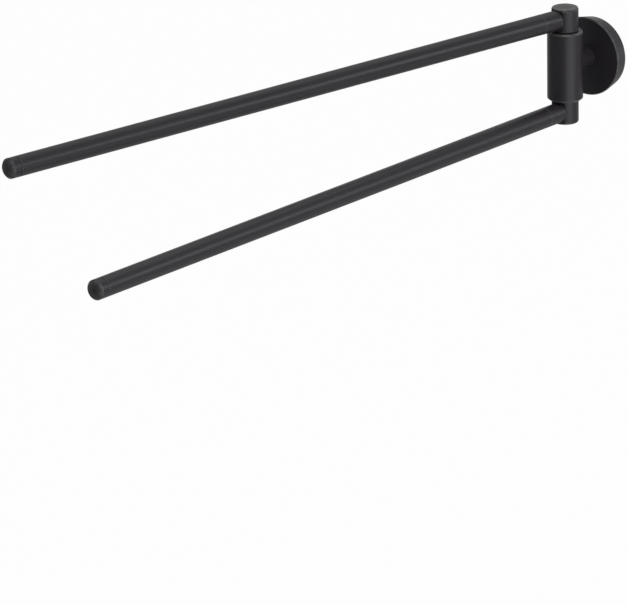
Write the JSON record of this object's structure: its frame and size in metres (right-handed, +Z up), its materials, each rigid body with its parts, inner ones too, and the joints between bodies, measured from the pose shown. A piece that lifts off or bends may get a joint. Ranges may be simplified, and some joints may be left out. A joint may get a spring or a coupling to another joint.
{
  "type": "towel rack",
  "caption": "Wall-mounted towel rack: a round rosette and upright barrel carry straight round bars, one above the other, that swing sideways on friction hubs.",
  "frame": {"origin": "middle of the wall bracket's wall side, level with the middle of the barrel", "axes": "+Z up, +Y into the wall, so the bars stand out towards -Y; +X to the right for someone facing the wall"},
  "size_m": [0.1053, 0.4547, 0.0702],
  "materials": {
    "matt_black_coat": "fine matt black powder coat",
    "plated_steel": "zinc plated, satin",
    "spring_steel": "blued spring steel, satin",
    "black_nylon": "matt",
    "natural_nylon": "matt"
  },
  "bodies": {
    "wall_mount": {"wall_bracket": "plated_steel", "rosette": "matt_black_coat", "rosette_grub_screw": "plated_steel", "stem": "matt_black_coat", "stem_bolt": "plated_steel", "barrel": "matt_black_coat", "upper_pivot_bolt": "plated_steel", "upper_disc_spring": "spring_steel", "upper_friction_washer": "black_nylon", "upper_thrust_washer": "natural_nylon", "lower_pivot_bolt": "plated_steel", "lower_disc_spring": "spring_steel", "lower_friction_washer": "black_nylon", "lower_thrust_washer": "natural_nylon"},
    "upper_arm": {"upper_hub": "matt_black_coat", "upper_hub_bush": "natural_nylon", "upper_hub_cap": "matt_black_coat", "upper_arm_stud": "plated_steel", "upper_ferrule": "matt_black_coat", "upper_bar": "matt_black_coat", "upper_end_cap": "matt_black_coat"},
    "lower_arm": {"lower_hub": "matt_black_coat", "lower_hub_bush": "natural_nylon", "lower_hub_cap": "matt_black_coat", "lower_arm_stud": "plated_steel", "lower_ferrule": "matt_black_coat", "lower_bar": "matt_black_coat", "lower_end_cap": "matt_black_coat"}
  },
  "joints": [
    {"name": "upper_arm_swing", "type": "hinge", "parent": "wall_mount", "child": "upper_arm", "pos_m": [0, -0.0302, 0.0282], "axis": [0, 0, 1], "range_deg": [-79.7, 100.3]},
    {"name": "lower_arm_swing", "type": "hinge", "parent": "wall_mount", "child": "lower_arm", "pos_m": [0, -0.0302, -0.0282], "axis": [0, 0, 1], "range_deg": [-88.8, 91.2]}
  ]
}
